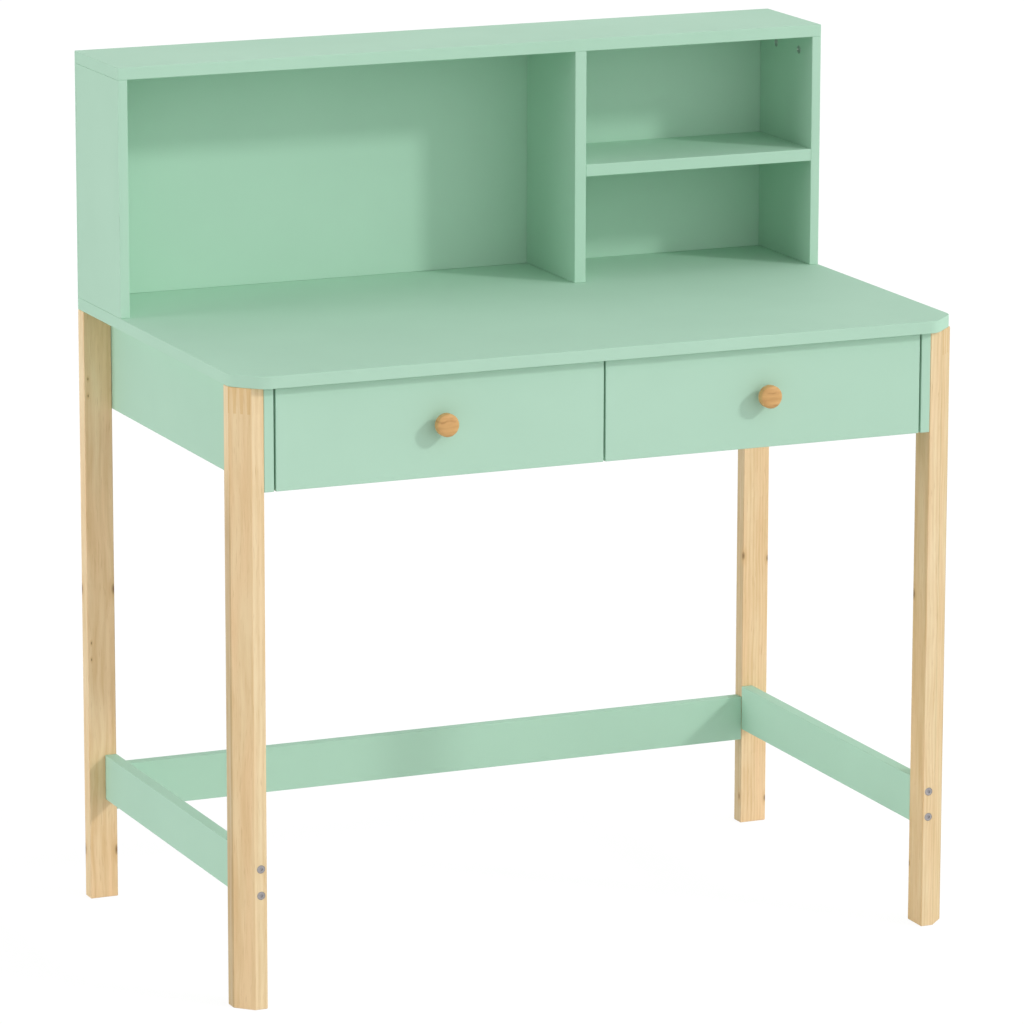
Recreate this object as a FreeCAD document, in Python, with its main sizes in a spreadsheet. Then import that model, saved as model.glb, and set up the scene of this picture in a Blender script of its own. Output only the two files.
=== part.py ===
"""Kids desk: painted boards on pine legs, a hutch at the back and two drawers under the top.

The frame has +Z up, +X to the right and +Y to the back, in millimetres. The origin is on
the floor, in the middle of the space that the desk, its knobs and its rear screws take up.
"""
import FreeCAD
import Part
import os
import re

from FreeCAD import Rotation, Vector

doc = FreeCAD.newDocument("kids_desk")

# Driving dimensions

DRIVING = {
    "desk_width": 930,
    "desktop_depth": 545,
    "desktop_height": 758,
    "hutch_height": 303,
    "board": 15,
    "panel": 12,
    "edge_round": 0.8,
    "corner_round": 22,
    "hutch_depth": 153,
    "back_panel": 5,
    "divider_x": 130,
    "shelf_height": 132,
    "leg_width": 36,
    "leg_chamfer": 20,
    "leg_round": 1.2,
    "leg_setback": 13,
    "back_leg_depth": 19,
    "rail_height": 57,
    "side_rail_floor": 126,
    "back_rail_floor": 112,
    "case_height": 123.5,
    "front_gap": 2.5,
    "drawer_side_gap": 1.5,
    "drawer_lift": 8,
    "drawer_headroom": 30.5,
    "drawer_rear_space": 86,
    "drawer_overlap": 130,
    "drawer_bottom": 4,
    "bottom_rise": 8,
    "groove_depth": 5,
    "runner_height": 12,
    "runner_bite": 5.5,
    "runner_start": 35,
    "running_play": 0.3,
    "stop_width": 60,
    "stop_depth": 20,
    "stop_height": 18,
    "stop_play": 0.5,
    "knob_rise": 64.5,
    "knob_radius": 13.75,
    "knob_length": 24,
    "knob_cap": 14,
    "knob_rim": 3.5,
    "neck_radius": 5.5,
    "neck_base_radius": 6.5,
    "knob_screw_bite": 12,
    "bore_clearance": 0.1,
    "confirmat_head_radius": 5,
    "confirmat_head_height": 4,
    "confirmat_radius": 3.2,
    "confirmat_socket": 2.3,
    "front_confirmat": 70,
    "rear_confirmat": 50,
    "confirmat_spacing": 32,
    "screw_head_radius": 4,
    "screw_head_height": 2.4,
    "screw_radius": 2,
    "leg_screw": 35,
    "leg_screw_edge": 35,
    "hutch_screw": 50,
    "case_screw": 42,
    "drawer_screw": 30,
    "runner_screw": 12,
    "pan_head_radius": 3.5,
    "pan_head_height": 2,
    "pan_radius": 1.6,
    "back_screw": 16,
    "back_screw_inset": 60,
    "bracket_screw": 12,
    "stop_screw": 28,
    "cam_radius": 5,
    "cam_depth": 9.5,
    "cam_socket": 2.5,
    "cam_drop": 21,
    "bolt_radius": 3,
    "bolt_thread": 9,
    "bolt_hook": 2,
    "rear_fixing": 50,
    "front_fixing": 38,
    "case_fixing": 30,
    "drawer_fixing": 13,
    "dowel_radius": 4,
    "dowel_length": 30,
    "dowel_bite": 10,
    "bracket_leg": 20,
    "bracket_width": 20,
    "bracket_steel": 2,
    "bracket_inset": 60,
}

# Places that follow from the driving dimensions

DERIVED = {
    "back_y": "(desktop_depth + knob_length - leg_setback - pan_head_height) / 2",
    "front_y": "back_y - desktop_depth",
    "case_front_y": "front_y + leg_setback",
    "corner_cut": "leg_chamfer + leg_setback",
    "back_leg_y": "back_y - back_leg_depth",
    "case_back_y": "back_leg_y - panel",
    "underside_z": "desktop_height - board",
    "case_bottom_z": "underside_z - case_height",
    "leg_inner_x": "desk_width / 2 - leg_width",
    "case_inner_x": "leg_inner_x - panel",
    "hutch_front_y": "back_y - hutch_depth",
    "hutch_back_y": "back_y - back_panel",
    "hutch_side_x": "desk_width / 2 - panel",
    "total_height": "desktop_height + hutch_height",
    "hutch_ceiling_z": "total_height - board",
    "shelf_x": "divider_x + board",
    "shelf_z": "desktop_height + shelf_height",
    "rail_x": "leg_inner_x + board / 2",
    "box_front_y": "case_front_y + board",
    "box_end_y": "case_back_y - drawer_rear_space",
    "drawer_travel": "box_end_y - box_front_y - drawer_overlap",
    "front_inner_x": "front_gap / 2",
    "front_outer_x": "case_inner_x - front_gap",
    "box_inner_x": "panel / 2 + drawer_side_gap",
    "box_outer_x": "case_inner_x - drawer_side_gap",
    "drawer_middle_x": "(front_inner_x + front_outer_x) / 2",
    "side_low_z": "case_bottom_z + drawer_lift",
    "side_top_z": "underside_z - drawer_headroom",
    "bottom_z": "side_low_z + bottom_rise",
    "runner_z": "(side_low_z + side_top_z - runner_height) / 2",
    "runner_y": "box_front_y + runner_start",
    "knob_z": "case_bottom_z + knob_rise",
    "rear_fixing_y": "back_y - rear_fixing",
    "front_fixing_y": "hutch_front_y + front_fixing",
    "middle_fixing_y": "(rear_fixing_y + front_fixing_y) / 2",
}

sheet = doc.addObject("Spreadsheet::Sheet", "dims")
rows = [(name, str(value)) for name, value in DRIVING.items()]
rows += [(name, "=" + formula) for name, formula in DERIVED.items()]
for row, (name, content) in enumerate(rows, 1):
    sheet.set(f"A{row}", name)
    sheet.set(f"B{row}", content)
    sheet.setAlias(f"B{row}", name)
doc.recompute()


# Binding and placing

HEADINGS = {
    "+X": Rotation(Vector(0, 1, 0), 90),
    "-X": Rotation(Vector(0, 1, 0), -90),
    "+Y": Rotation(Vector(1, 0, 0), -90),
    "-Y": Rotation(Vector(1, 0, 0), 90),
    "+Z": Rotation(),
    "-Z": Rotation(Vector(1, 0, 0), 180),
}
SIDES = ("left", "right")


def bind(thing, **sizes):
    """Tie properties to sums of the sheet's names."""
    for name, formula in sizes.items():
        thing.setExpression(name, re.sub(r"[a-z]\w*", r"dims.\g<0>", formula))


def place(thing, at, heading="+Z"):
    """Turn a thing's own Z axis to a heading and tie its corner or centre to a point."""
    thing.Placement.Rotation = HEADINGS[heading]
    for axis, formula in zip("xyz", at):
        bind(thing, **{"Placement.Base." + axis: formula})


def mirrored(side, low, width):
    """The low X of a piece on one side, from its low X on the right side."""
    return low if side == "right" else f"-({low}) - ({width})"


def signed(side, formula):
    """An X on one side, from the same X on the right side."""
    return formula if side == "right" else f"-({formula})"


def outward(side):
    """The heading that points away from the desk's middle on one side."""
    return "+X" if side == "right" else "-X"


def inward(side):
    """The heading that points to the desk's middle on one side."""
    return "-X" if side == "right" else "+X"


# Boards

TOUCH = 0.001
subparts = []


def dressed(body, kind, base, chosen, **sizes):
    """A chamfer or fillet on the edges of a feature whose box passes a test."""
    doc.recompute()
    edges = enumerate(base.Shape.Edges, 1)
    names = [f"Edge{number}" for number, edge in edges if chosen(edge.BoundBox)]
    feature = body.newObject("PartDesign::" + kind, f"{base.Name}_{kind.lower()}")
    feature.Base = (base, names)
    bind(feature, **sizes)
    return feature


def upright(span):
    """Whether an edge, given by its box, stands straight up."""
    return span.XLength < TOUCH and span.YLength < TOUCH


def blank_of(name, low, size):
    """A body with a rectangular block in it, its low corner at a place."""
    body = doc.addObject("PartDesign::Body", name)
    block = body.newObject("PartDesign::AdditiveBox", name + "_block")
    bind(block, Length=size[0], Width=size[1], Height=size[2])
    place(body, low)
    return body, block


def eased(body, shaped, ease="edge_round"):
    """The body with every edge of its last feature rounded over."""
    rounded = body.newObject("PartDesign::Fillet", body.Name + "_ease")
    rounded.Base = (shaped, [])
    rounded.UseAllEdges = True
    bind(rounded, Radius=ease)
    return body


def board(name, low, size, ease="edge_round"):
    """A rectangular board with eased edges."""
    return eased(*blank_of(name, low, size), ease)


def box(name, low, size):
    """A plain block."""
    block = doc.addObject("Part::Box", name)
    bind(block, Length=size[0], Width=size[1], Height=size[2])
    place(block, low)
    return block


def group(name, pieces):
    """Separate solids kept together under one name."""
    together = doc.addObject("Part::Compound", name)
    together.Links = pieces
    return together


def subpart(name, blank, *cuts):
    """A finished piece: its blank, less everything that is cut or drilled out of it."""
    piece = doc.addObject("Part::Cut", name)
    piece.Base = blank
    piece.Tool = cuts[0] if len(cuts) == 1 else group(name + "_cuts", list(cuts))
    subparts.append(piece)


# Fasteners: each is a row of steps along its axis, (start, length, radius, end radius)

def step(name, at, heading, start, length, radius, end_radius=None):
    """One round or tapered step of a fastener, measured from its seat along its heading."""
    kind = "Part::Cone" if end_radius else "Part::Cylinder"
    bar = doc.addObject(kind, name)
    if end_radius:
        bind(bar, Radius1=radius, Radius2=end_radius, Height=length)
    else:
        bind(bar, Radius=radius, Height=length)
    along = "XYZ".index(heading[1])
    seat = list(at)
    seat[along] = f"{at[along]} {heading[0]} ({start})"
    place(bar, seat, heading)
    return bar


def joined(name, pieces):
    """Steps on one axis made one solid."""
    if len(pieces) == 1:
        return pieces[0]
    whole = doc.addObject("Part::MultiFuse", name)
    whole.Shapes = pieces
    return whole


def socketed(name, screw, at, heading, sides, radius, depth):
    """A fastener with a many-sided driver socket sunk in its head."""
    socket = doc.addObject("Part::Prism", name + "_socket")
    socket.Polygon = int(sides)
    bind(socket, Circumradius=radius, Height=depth)
    place(socket, at, heading)
    driven = doc.addObject("Part::Cut", name + "_driven")
    driven.Base = screw
    driven.Tool = socket
    return driven


def fasteners(name, places, steps, socket=None, crossed_by=None):
    """A set of like fasteners as one sub-part; returns the bores that they sit in."""
    pieces = []
    bores = []
    for number, (at, heading) in enumerate(places, 1):
        label = f"{name}_{number}"
        solid = [step(f"{label}_step", at, heading, *sizes) for sizes in steps]
        screw = joined(label, solid)
        if socket:
            screw = socketed(label, screw, at, heading, *socket)
        pieces.append(screw)
        bore = []
        for start, length, *radii in steps:
            grown = [radius + " + bore_clearance" for radius in radii]
            deeper = length + " + bore_clearance" if start == steps[-1][0] else length
            bore.append(step(f"{label}_bore_step", at, heading, start, deeper, *grown))
        bores.append(joined(f"{label}_bore", bore))
    drilled = group(name + "_bores", bores)
    if crossed_by:
        subpart(name, group(name + "_whole", pieces), crossed_by)
    else:
        subparts.append(group(name, pieces))
    return drilled


def confirmat(length):
    """Stout screw with a flat cylindrical head sunk flush."""
    return [
        ("0", "confirmat_head_height", "confirmat_head_radius"),
        ("confirmat_head_height", f"{length} - confirmat_head_height", "confirmat_radius"),
    ]


def wood_screw(length):
    """Countersunk wood screw, its head flush."""
    return [
        ("0", "screw_head_height", "screw_head_radius", "screw_radius"),
        ("screw_head_height", f"{length} - screw_head_height", "screw_radius"),
    ]


def pan_screw(length):
    """Small screw whose head stands on the surface."""
    return [
        ("-pan_head_height", "pan_head_height", "pan_head_radius"),
        ("0", length, "pan_radius"),
    ]


CAM = [("0", "cam_depth", "cam_radius")]
CAM_BOLT = [("-bolt_thread", "bolt_thread + cam_drop + bolt_hook", "bolt_radius")]
DOWEL = [("-dowel_bite", "dowel_length", "dowel_radius")]
CONFIRMAT_SOCKET = (6, "confirmat_socket", "confirmat_head_height / 2")
CAM_SOCKET = (4, "cam_socket", "cam_depth / 4")


def cam_joint(name, bolts, cams):
    """Cam locks and the bolts that they draw in; returns the bores of both."""
    bolt_bores = fasteners(name + "_cam_bolts", bolts, CAM_BOLT)
    cam_bores = fasteners(name + "_cam_locks", cams, CAM, CAM_SOCKET, bolt_bores)
    return bolt_bores, cam_bores


# Hutch fixings: cams draw the top and the shelf to the uprights, screws hold them from below

UPRIGHTS = {
    "left": ("-hutch_side_x - panel / 2", "-hutch_side_x", "-X"),
    "divider": ("divider_x + board / 2", "shelf_x", "-X"),
    "right": ("hutch_side_x + panel / 2", "hutch_side_x", "+X"),
}
fixing_ys = ("rear_fixing_y", "front_fixing_y")

hutch_bolts = []
hutch_cams = []
base_screws = []
dowels = []
for middle_x, face_x, heading in UPRIGHTS.values():
    for y in fixing_ys:
        hutch_bolts.append(((middle_x, y, "hutch_ceiling_z"), "-Z"))
        hutch_cams.append(((face_x, y, "hutch_ceiling_z - cam_drop"), heading))
        base_screws.append(((middle_x, y, "underside_z"), "+Z"))
    dowels.append(((middle_x, "middle_fixing_y", "hutch_ceiling_z"), "-Z"))
    dowels.append(((middle_x, "middle_fixing_y", "desktop_height"), "+Z"))
for y in fixing_ys:
    hutch_bolts.append((("shelf_x", y, "shelf_z + board / 2"), "+X"))
    hutch_bolts.append((("hutch_side_x", y, "shelf_z + board / 2"), "-X"))
    hutch_cams.append((("shelf_x + cam_drop", y, "shelf_z"), "+Z"))
    hutch_cams.append((("hutch_side_x - cam_drop", y, "shelf_z"), "+Z"))
hutch_bolt_bores, hutch_cam_bores = cam_joint("hutch", hutch_bolts, hutch_cams)
base_screw_bores = fasteners("hutch_base_screws", base_screws, wood_screw("hutch_screw"))

back_screws = []
for middle_x, face_x, heading in UPRIGHTS.values():
    for z in ("desktop_height + back_screw_inset", "hutch_ceiling_z - back_screw_inset"):
        back_screws.append(((middle_x, "back_y", z), "-Y"))
for share in ("-1", "-1 / 3", "1 / 3", "1"):
    x = f"{share} * (desk_width / 2 - back_screw_inset)"
    back_screws.append(((x, "back_y", "total_height - board / 2"), "-Y"))
for x in ("shelf_x + back_screw_inset", "hutch_side_x - back_screw_inset"):
    back_screws.append(((x, "back_y", "shelf_z + board / 2"), "-Y"))
back_screw_bores = fasteners("hutch_back_screws", back_screws, pan_screw("back_screw"))

# Leg and rail fixings

front_confirmats = []
rear_confirmats = []
rail_bolts = []
rail_cams = []
leg_screws = []
leg_middle_x = "(leg_inner_x + leg_width / 2)"
rail_y = "back_leg_y + board / 2"
leg_ys = ("case_front_y + leg_width / 2", "back_leg_y + back_leg_depth / 2")
for side in SIDES:
    for sign in "-+":
        spread = f"rail_height / 2 {sign} confirmat_spacing / 2"
        side_z = f"side_rail_floor + {spread}"
        back_z = f"back_rail_floor + {spread}"
        front_confirmats.append(((signed(side, "rail_x"), "case_front_y", side_z), "+Y"))
        rear_confirmats.append(((signed(side, "rail_x"), "back_y", side_z), "-Y"))
        rail_bolts.append(((signed(side, "leg_inner_x"), rail_y, back_z), inward(side)))
        cam_x = signed(side, "leg_inner_x - cam_drop")
        rail_cams.append(((cam_x, "back_leg_y + board", back_z), "-Y"))
    for y in leg_ys:
        for z in ("case_bottom_z + leg_screw_edge", "underside_z - leg_screw_edge"):
            leg_screws.append(((signed(side, "case_inner_x"), y, z), outward(side)))
        dowels.append(((signed(side, leg_middle_x), y, "underside_z"), "-Z"))
front_confirmat_bores = fasteners(
    "front_leg_screws", front_confirmats, confirmat("front_confirmat"), CONFIRMAT_SOCKET)
rear_confirmat_bores = fasteners(
    "back_leg_screws", rear_confirmats, confirmat("rear_confirmat"), CONFIRMAT_SOCKET)
rail_bolt_bores, rail_cam_bores = cam_joint("back_rail", rail_bolts, rail_cams)
leg_screw_bores = fasteners("leg_to_case_screws", leg_screws, wood_screw("leg_screw"))
dowel_bores = fasteners("dowels", dowels, DOWEL)

# Drawer case fixings: cams at the back, steel angles under the desktop

case_bolts = []
case_cams = []
divider_screws = []
back_middle_y = "case_back_y + panel / 2"
for z in ("case_bottom_z + case_fixing", "underside_z - case_fixing"):
    for side in SIDES:
        case_bolts.append(((signed(side, "case_inner_x"), back_middle_y, z), inward(side)))
        case_cams.append(((signed(side, "case_inner_x - cam_drop"), "back_leg_y", z), "-Y"))
    divider_screws.append((("0", "back_leg_y", z), "-Y"))
case_bolt_bores, case_cam_bores = cam_joint("case_back", case_bolts, case_cams)
divider_screw_bores = fasteners(
    "case_divider_screws", divider_screws, wood_screw("case_screw"))

bracket_ys = ("box_front_y + bracket_inset", "case_back_y - bracket_inset")
bracket_seats = [("case_inner_x", "right", y, "-X") for y in bracket_ys]
bracket_seats += [("case_inner_x", "left", y, "+X") for y in bracket_ys]
bracket_seats.append(("panel / 2", "right", bracket_ys[0], "+X"))
bracket_seats.append(("panel / 2", "left", bracket_ys[1], "-X"))
brackets = []
bracket_screws = []
half_leg = "(bracket_leg + bracket_steel) / 2"
for number, (face, side, y, heading) in enumerate(bracket_seats, 1):
    face_x = signed(side, face)
    plate = "" if heading == "+X" else " - bracket_steel"
    shelf = "" if heading == "+X" else " - bracket_leg"
    low_y = f"{y} - bracket_width / 2"
    stand = box(f"bracket_{number}_stand", (face_x + plate, low_y, "underside_z - bracket_leg"),
                ("bracket_steel", "bracket_width", "bracket_leg"))
    flat = box(f"bracket_{number}_flat", (face_x + shelf, low_y, "underside_z - bracket_steel"),
               ("bracket_leg", "bracket_width", "bracket_steel"))
    brackets.append(joined(f"bracket_{number}", [stand, flat]))
    into_panel = "-X" if heading == "+X" else "+X"
    head_x = f"{face_x} {heading[0]} bracket_steel"
    bracket_screws.append(((head_x, y, f"underside_z - {half_leg}"), into_panel))
    middle_x = f"{face_x} {heading[0]} {half_leg}"
    bracket_screws.append(((middle_x, y, "underside_z - bracket_steel"), "+Z"))
bracket_screw_bores = fasteners(
    "bracket_screws", bracket_screws, pan_screw("bracket_screw"))
subpart("desktop_brackets", group("bracket_blanks", brackets), bracket_screw_bores)

# Drawer runners and stops, fixed to the case

runner_size = ("drawer_side_gap + runner_bite", "box_end_y - runner_y - running_play", "runner_height")
runner_screws = []
runners = {}
for side in SIDES:
    strips = []
    for wall in ("inner", "outer"):
        low = "case_inner_x - drawer_side_gap - runner_bite" if wall == "outer" else "panel / 2"
        face = low if wall == "outer" else "panel / 2 + drawer_side_gap + runner_bite"
        low_x = mirrored(side, low, runner_size[0])
        strips.append(board(f"{side}_{wall}_runner", (low_x, "runner_y + running_play", "runner_z"),
                            runner_size))
        heading = outward(side) if wall == "outer" else inward(side)
        for share in ("1 / 8", "1 / 2", "7 / 8"):
            y = f"runner_y + {share} * (box_end_y - runner_y)"
            seat = (signed(side, face), y, "runner_z + runner_height / 2")
            runner_screws.append((seat, heading))
    runners[side] = group(f"{side}_runner_blanks", strips)
runner_screw_bores = fasteners("runner_screws", runner_screws, wood_screw("runner_screw"))
for side in SIDES:
    subpart(f"{side}_drawer_runners", runners[side], runner_screw_bores)

stop_y = "box_end_y - panel - drawer_travel - stop_play - stop_depth"
stop_screws = []
stops = []
for side in SIDES:
    low_x = f"{signed(side, 'drawer_middle_x')} - stop_width / 2"
    stops.append(board(f"{side}_stop", (low_x, stop_y, "underside_z - stop_height"),
                       ("stop_width", "stop_depth", "stop_height")))
    for sign in "-+":
        x = f"{signed(side, 'drawer_middle_x')} {sign} stop_width / 4"
        stop_screws.append(((x, f"{stop_y} + stop_depth / 2", "underside_z - stop_height"), "+Z"))
stop_screw_bores = fasteners("stop_screws", stop_screws, wood_screw("stop_screw"))
subpart("drawer_stops", group("stop_blanks", stops), stop_screw_bores)

# Desktop and hutch boards

top_board, top_block = blank_of("desktop_board", ("-desk_width / 2", "front_y", "underside_z"),
                                ("desk_width", "desktop_depth", "board"))
top_cut = dressed(top_board, "Chamfer", top_block,
                  lambda span: upright(span) and span.YMax < TOUCH, Size="corner_cut")
top_soft = dressed(top_board, "Fillet", top_cut,
                   lambda span: upright(span) and span.YMin < sheet.desktop_depth - TOUCH,
                   Radius="corner_round")
subpart("desktop", eased(top_board, top_soft), base_screw_bores, dowel_bores,
        bracket_screw_bores, stop_screw_bores)

hutch_deep = "hutch_depth - back_panel"
hutch_tall = "hutch_ceiling_z - desktop_height"
subpart("hutch_top",
        board("hutch_top_board", ("-desk_width / 2", "hutch_front_y", "hutch_ceiling_z"),
              ("desk_width", hutch_deep, "board")),
        hutch_bolt_bores, dowel_bores, back_screw_bores)
for side in SIDES:
    low_x = mirrored(side, "hutch_side_x", "panel")
    blank = board(f"hutch_{side}_board", (low_x, "hutch_front_y", "desktop_height"),
                  ("panel", hutch_deep, hutch_tall))
    subpart(f"hutch_{side}_side", blank, hutch_bolt_bores, hutch_cam_bores,
            base_screw_bores, dowel_bores, back_screw_bores)
subpart("hutch_divider",
        board("hutch_divider_board", ("divider_x", "hutch_front_y", "desktop_height"),
              ("board", hutch_deep, hutch_tall)),
        hutch_bolt_bores, hutch_cam_bores, base_screw_bores, dowel_bores,
        back_screw_bores)
subpart("hutch_shelf",
        board("hutch_shelf_board", ("shelf_x", "hutch_front_y", "shelf_z"),
              ("hutch_side_x - shelf_x", hutch_deep, "board")),
        hutch_bolt_bores, hutch_cam_bores, back_screw_bores)
subpart("hutch_back_panel",
        board("hutch_back_board", ("-desk_width / 2", "hutch_back_y", "desktop_height"),
              ("desk_width", "back_panel", "hutch_height")),
        back_screw_bores)

# Drawer case boards

case_deep = "back_y - case_front_y"
for side in SIDES:
    low_x = mirrored(side, "case_inner_x", "panel")
    blank = board(f"case_{side}_board", (low_x, "case_front_y", "case_bottom_z"),
                  ("panel", case_deep, "case_height"))
    subpart(f"case_{side}_side", blank, leg_screw_bores, case_bolt_bores,
            bracket_screw_bores, runner_screw_bores)
subpart("case_back",
        board("case_back_board", ("-case_inner_x", "case_back_y", "case_bottom_z"),
              ("2 * case_inner_x", "panel", "case_height")),
        case_bolt_bores, case_cam_bores, divider_screw_bores)
subpart("case_divider",
        board("case_divider_board", ("-panel / 2", "box_front_y", "side_low_z"),
              ("panel", "case_back_y - box_front_y", "underside_z - side_low_z")),
        divider_screw_bores, bracket_screw_bores, runner_screw_bores)

# Legs and rails

for side in SIDES:
    low_x = mirrored(side, "leg_inner_x", "leg_width")
    post, post_block = blank_of(f"front_{side}_post", (low_x, "case_front_y", "0"),
                                ("leg_width", "leg_width", "underside_z"))
    outer_x = sheet.leg_width if side == "right" else 0
    post_cut = dressed(post, "Chamfer", post_block,
                       lambda span: upright(span) and span.YMax < TOUCH
                       and abs(span.XMax - outer_x) < TOUCH, Size="leg_chamfer")
    subpart(f"front_{side}_leg", eased(post, post_cut, "leg_round"), front_confirmat_bores,
            leg_screw_bores, dowel_bores)
    back_leg = board(f"back_{side}_post", (low_x, "back_leg_y", "0"),
                     ("leg_width", "back_leg_depth", "underside_z"), "leg_round")
    subpart(f"back_{side}_leg", back_leg, rear_confirmat_bores, rail_bolt_bores,
            leg_screw_bores, dowel_bores)
    rail_low_x = mirrored(side, "leg_inner_x", "board")
    rail_front = "case_front_y + leg_width"
    rail = board(f"{side}_rail_board", (rail_low_x, rail_front, "side_rail_floor"),
                 ("board", f"back_leg_y - ({rail_front})", "rail_height"))
    subpart(f"{side}_lower_rail", rail, front_confirmat_bores, rear_confirmat_bores)
subpart("back_lower_rail",
        board("back_rail_board", ("-leg_inner_x", "back_leg_y", "back_rail_floor"),
              ("2 * leg_inner_x", "board", "rail_height")),
        rail_bolt_bores, rail_cam_bores)

# Drawers

box_width = "box_outer_x - box_inner_x"
bottom_low_x = "box_inner_x + panel - groove_depth + bore_clearance"
bottom_width = f"{box_width} - 2 * (panel - groove_depth + bore_clearance)"
bottom_front = "box_front_y - groove_depth + bore_clearance"
for side in SIDES:
    drawer = f"{side}_drawer"
    walls = {"inner": "box_inner_x", "outer": "box_outer_x - panel"}
    slots = {"inner": "box_inner_x - running_play",
             "outer": "box_outer_x - runner_bite - running_play"}
    bolts = []
    cams = []
    screws = []
    for wall, wall_x in walls.items():
        middle_x = signed(side, f"{wall_x} + panel / 2")
        cam_face = "box_inner_x + panel" if wall == "inner" else wall_x
        screw_face = "box_inner_x" if wall == "inner" else "box_outer_x"
        to_wall = inward(side) if wall == "inner" else outward(side)
        to_inside = outward(side) if wall == "inner" else inward(side)
        for z in ("bottom_z + drawer_bottom + drawer_fixing", "side_top_z - drawer_fixing"):
            bolts.append(((middle_x, "box_front_y", z), "+Y"))
            cams.append(((signed(side, cam_face), "box_front_y + cam_drop", z), to_wall))
            screws.append(((signed(side, screw_face), "box_end_y - panel / 2", z), to_inside))
    for share in ("-1 / 3", "0", "1 / 3"):
        x = f"{signed(side, '(box_inner_x + box_outer_x) / 2')} + {share} * ({box_width})"
        screws.append(((x, "box_end_y - panel / 2", "bottom_z"), "+Z"))
    bolt_bores, cam_bores = cam_joint(drawer, bolts, cams)
    screw_bores = fasteners(f"{drawer}_screws", screws, wood_screw("drawer_screw"))

    knob_seat = (signed(side, "drawer_middle_x"), "box_front_y", "knob_z")
    knob_screw_bores = fasteners(f"{drawer}_knob_screw", [(knob_seat, "-Y")],
                                 pan_screw("board + knob_screw_bite"))

    bottom_size = (bottom_width, f"box_end_y - ({bottom_front})", "drawer_bottom")
    groove = box(f"{drawer}_bottom_groove",
                 (f"{mirrored(side, bottom_low_x, bottom_width)} - bore_clearance",
                  f"{bottom_front} - bore_clearance", "bottom_z - bore_clearance"),
                 (f"{bottom_width} + 2 * bore_clearance",
                  f"{bottom_size[1]} + 2 * bore_clearance", "drawer_bottom + 2 * bore_clearance"))
    front_size = ("front_outer_x - front_inner_x", "board", "case_height - front_gap")
    front = board(f"{drawer}_front_board",
                  (mirrored(side, "front_inner_x", front_size[0]), "case_front_y", "case_bottom_z"),
                  front_size)
    subpart(f"{drawer}_front", front, bolt_bores, knob_screw_bores, groove)

    for wall, wall_x in walls.items():
        blank = board(f"{drawer}_{wall}_board",
                      (mirrored(side, wall_x, "panel"), "box_front_y", "side_low_z"),
                      ("panel", "box_end_y - box_front_y", "side_top_z - side_low_z"))
        slot_wide = "runner_bite + 2 * running_play"
        slot = box(f"{drawer}_{wall}_slot",
                   (mirrored(side, slots[wall], slot_wide), "runner_y", "runner_z - running_play"),
                   (slot_wide, "box_end_y - runner_y + running_play",
                    "runner_height + 2 * running_play"))
        subpart(f"{drawer}_{wall}_side", blank, bolt_bores, cam_bores, screw_bores, groove, slot)

    inside = f"{box_width} - 2 * panel"
    back = board(f"{drawer}_back_board",
                 (mirrored(side, "box_inner_x + panel", inside), "box_end_y - panel",
                  "bottom_z + drawer_bottom"),
                 (inside, "panel", "underside_z - stop_height / 2 - bottom_z - drawer_bottom"))
    subpart(f"{drawer}_back", back, screw_bores)
    bottom = box(f"{drawer}_bottom_board",
                 (mirrored(side, bottom_low_x, bottom_width), bottom_front, "bottom_z"), bottom_size)
    subpart(f"{drawer}_bottom", bottom, screw_bores)

    knob = doc.addObject("PartDesign::Body", f"{drawer}_knob_turning")
    neck = knob.newObject("PartDesign::AdditiveCone", f"{drawer}_neck")
    bind(neck, Radius1="neck_base_radius", Radius2="neck_radius", Height="knob_length - knob_cap")
    cap = knob.newObject("PartDesign::AdditiveCylinder", f"{drawer}_cap")
    bind(cap, Radius="knob_radius", Height="knob_cap")
    bind(cap, **{"Placement.Base.z": "knob_length - knob_cap"})
    dressed(knob, "Fillet", cap,
            lambda span: span.XLength > 2 * sheet.knob_radius - TOUCH, Radius="knob_rim")
    place(knob, (signed(side, "drawer_middle_x"), "case_front_y", "knob_z"), "-Y")
    subpart(f"{drawer}_knob", knob, knob_screw_bores)

# Checks and files

doc.recompute()
for thing in doc.Objects:
    if "Invalid" in thing.State or "Error" in thing.State:
        raise RuntimeError(f"{thing.Label} failed: {thing.State}")
for piece in subparts:
    if piece.Shape.isNull() or not piece.Shape.isValid() or not piece.Shape.Solids:
        raise RuntimeError(f"{piece.Label} has no valid solid")
os.makedirs("parts", exist_ok=True)
for piece in subparts:
    piece.Shape.exportStep(f"parts/{piece.Label}.step")
    print(piece.Label, len(piece.Shape.Solids), "solids", round(piece.Shape.Volume), "mm3")
print(len(subparts), "sub-parts, drawer travel", sheet.drawer_travel, "mm")
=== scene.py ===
# Kids desk with a hutch, two drawers and four pine legs, finished as it leaves the workshop.
# Lengths are metres in the frame's own axes: X to the right, Y to the back, Z up.
import math

import bpy
from mathutils import Matrix, Vector


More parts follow.
